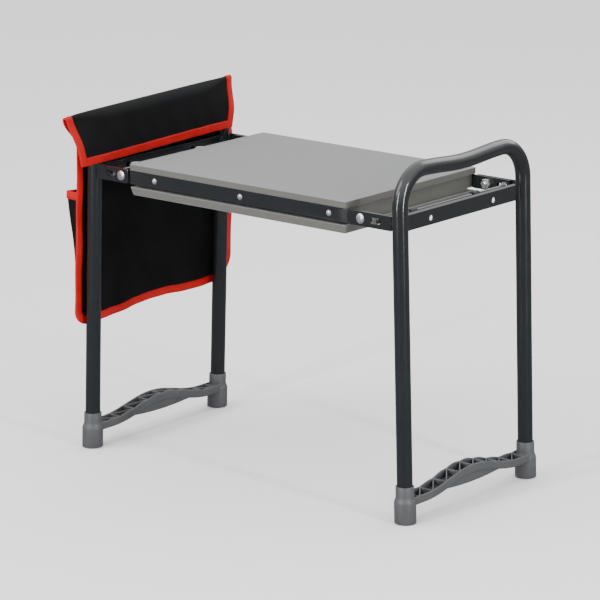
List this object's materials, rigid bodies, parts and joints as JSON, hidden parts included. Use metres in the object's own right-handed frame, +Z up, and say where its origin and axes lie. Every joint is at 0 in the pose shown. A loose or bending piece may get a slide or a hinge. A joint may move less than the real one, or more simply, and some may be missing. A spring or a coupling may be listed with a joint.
{
  "type": "folding garden kneeler seat",
  "caption": "Folding garden kneeler and seat: a padded board between two tubular leg frames with handles, held open by spring lock rods, with a cloth tool bag on one handle.",
  "frame": {"origin": "middle of the whole object's box, on the floor", "axes": "+X along the length, away from the tool bag; +Y across the seat; +Z up"},
  "size_m": [0.6276, 0.389, 0.5053],
  "materials": {
    "frame_paint": "glossy dark grey powder coat",
    "foot_plastic": "satin moulded grey plastic",
    "pad_foam": "matt foam with a fine ribbed surface",
    "board_plastic": "matt moulded plastic",
    "zinc": "bright zinc plate",
    "black_plastic": "satin",
    "bag_cloth": "black woven nylon with red binding"
  },
  "bodies": {
    "seat": {"left_pivot_bolt_front": "zinc", "left_pivot_washer_front": "zinc", "left_pivot_nut_front": "zinc", "left_pivot_bolt_back": "zinc", "left_pivot_washer_back": "zinc", "left_pivot_nut_back": "zinc", "right_pivot_bolt_front": "zinc", "right_pivot_washer_front": "zinc", "right_pivot_nut_front": "zinc", "right_pivot_bolt_back": "zinc", "right_pivot_washer_back": "zinc", "right_pivot_nut_back": "zinc", "seat_rail_front": "frame_paint", "rail_screw_front_1": "zinc", "rail_screw_front_2": "zinc", "rail_screw_front_3": "zinc", "seat_rail_back": "frame_paint", "rail_screw_back_1": "zinc", "rail_screw_back_2": "zinc", "rail_screw_back_3": "zinc", "seat_board": "board_plastic", "top_pad": "pad_foam", "bottom_pad": "pad_foam"},
    "left_leg": {"left_leg_tube": "frame_paint", "left_foot_bar": "foot_plastic", "left_crossbar": "frame_paint", "left_ear_front": "frame_paint", "left_ear_back": "frame_paint", "left_lock_spring_front": "zinc", "left_lock_spring_back": "zinc", "bag_cloth": "bag_cloth", "bag_pockets": "bag_cloth"},
    "right_leg": {"right_leg_tube": "frame_paint", "right_foot_bar": "foot_plastic", "right_crossbar": "frame_paint", "right_ear_front": "frame_paint", "right_ear_back": "frame_paint", "right_lock_spring_front": "zinc", "right_lock_spring_back": "zinc"},
    "left_lock": {"left_lock_rod": "frame_paint", "left_rod_sleeve_front": "black_plastic", "left_rod_sleeve_back": "black_plastic", "left_rod_clip_front": "zinc", "left_rod_clip_back": "zinc"},
    "right_lock": {"right_lock_rod": "frame_paint", "right_rod_sleeve_front": "black_plastic", "right_rod_sleeve_back": "black_plastic", "right_rod_clip_front": "zinc", "right_rod_clip_back": "zinc"}
  },
  "joints": [
    {"name": "left_leg_fold", "type": "hinge", "parent": "seat", "child": "left_leg", "pos_m": [-0.21724, 0.0105, 0.421], "axis": [0, -1, 0], "range_deg": [0, 93]},
    {"name": "right_leg_fold", "type": "hinge", "parent": "seat", "child": "right_leg", "pos_m": [0.22246, 0.0105, 0.421], "axis": [0, 1, 0], "range_deg": [0, 64]},
    {"name": "left_lock_slide", "type": "slide", "parent": "left_leg", "child": "left_lock", "axis": [1, 0, 0], "range_m": [0, 0.008], "stiffness_N_per_m": 300, "springref_m": -0.01},
    {"name": "right_lock_slide", "type": "slide", "parent": "right_leg", "child": "right_lock", "axis": [-1, 0, 0], "range_m": [0, 0.008], "stiffness_N_per_m": 300, "springref_m": -0.01}
  ]
}
